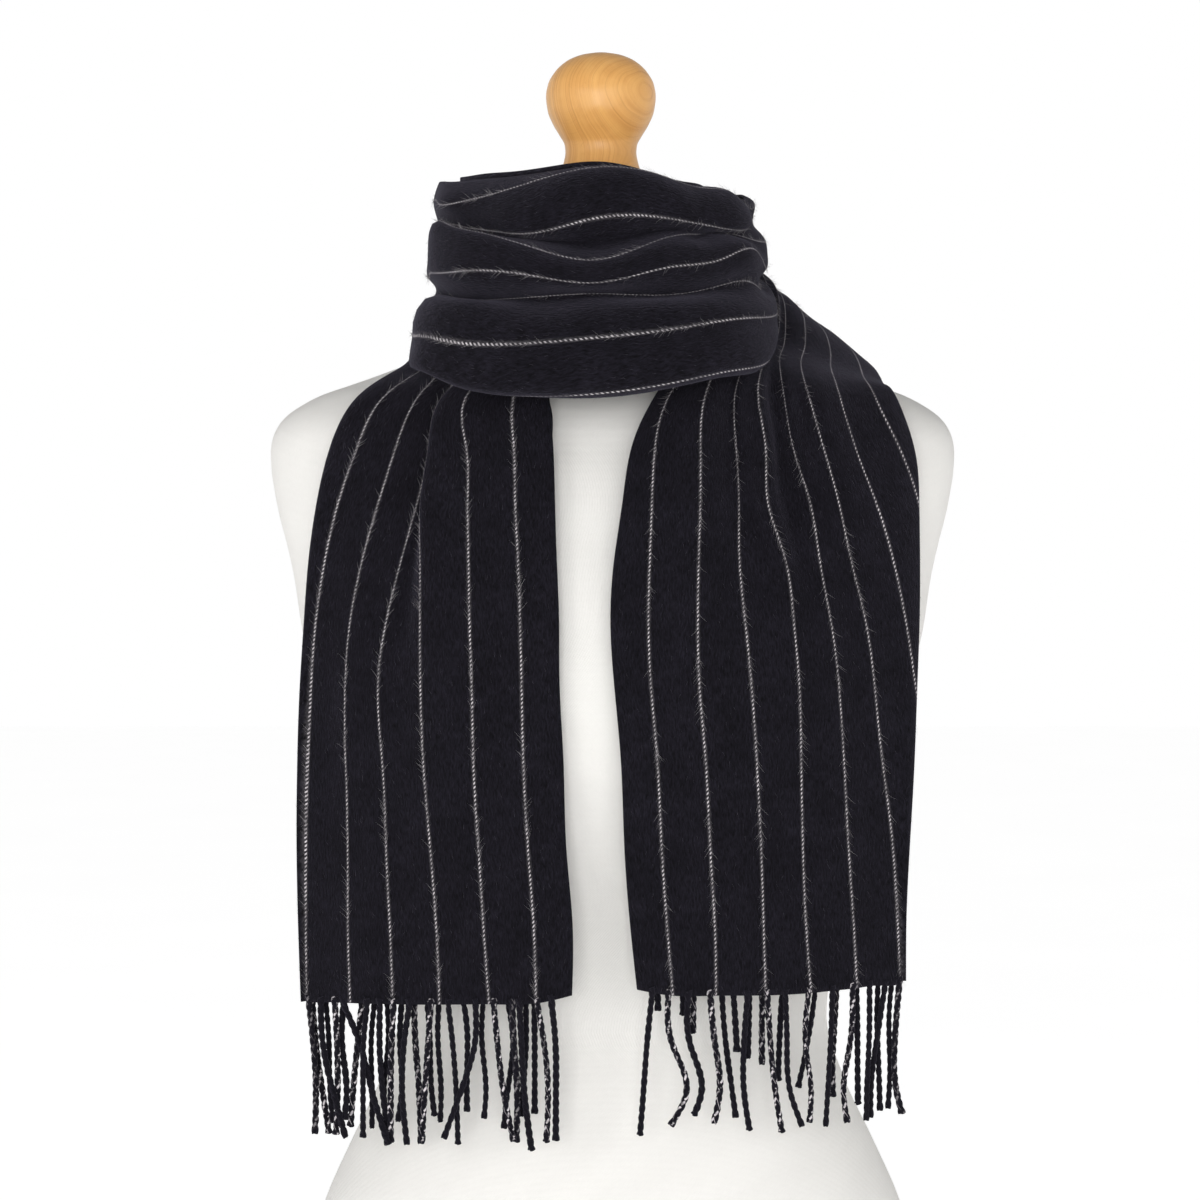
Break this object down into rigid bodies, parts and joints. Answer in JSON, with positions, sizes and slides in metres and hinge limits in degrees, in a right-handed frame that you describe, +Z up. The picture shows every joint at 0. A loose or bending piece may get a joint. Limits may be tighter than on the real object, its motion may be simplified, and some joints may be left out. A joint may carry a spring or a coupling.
{
  "type": "striped cashmere scarf on a limbless dress form",
  "caption": "Fringed cashmere scarf with thin pale stripes, folded lengthwise and wound once round the neck of a limbless dress form with a turned wooden finial.",
  "frame": {"origin": "on the form's flat base, midway between its sides and under the neck", "axes": "+Z up along the form; the front of the form and the hanging ends face -Y; +X is on the right of someone looking at the front"},
  "size_m": [0.3834, 0.2452, 0.7806],
  "materials": {
    "cashmere": "brushed black cashmere with thin off-white stripes",
    "jersey": "off-white knitted jersey, stretched smooth",
    "turned_wood": "honey-coloured varnish, satin"
  },
  "bodies": {
    "root": {"left_tail": "cashmere", "back_wrap_inner": "cashmere", "neck_loop": "cashmere", "back_wrap_outer": "cashmere", "right_tail": "cashmere", "left_fringe_front": "cashmere", "left_fringe_back": "cashmere", "right_fringe_front": "cashmere", "right_fringe_back": "cashmere", "dress_form": "jersey", "neck_cap": "turned_wood", "finial": "turned_wood"}
  },
  "joints": []
}
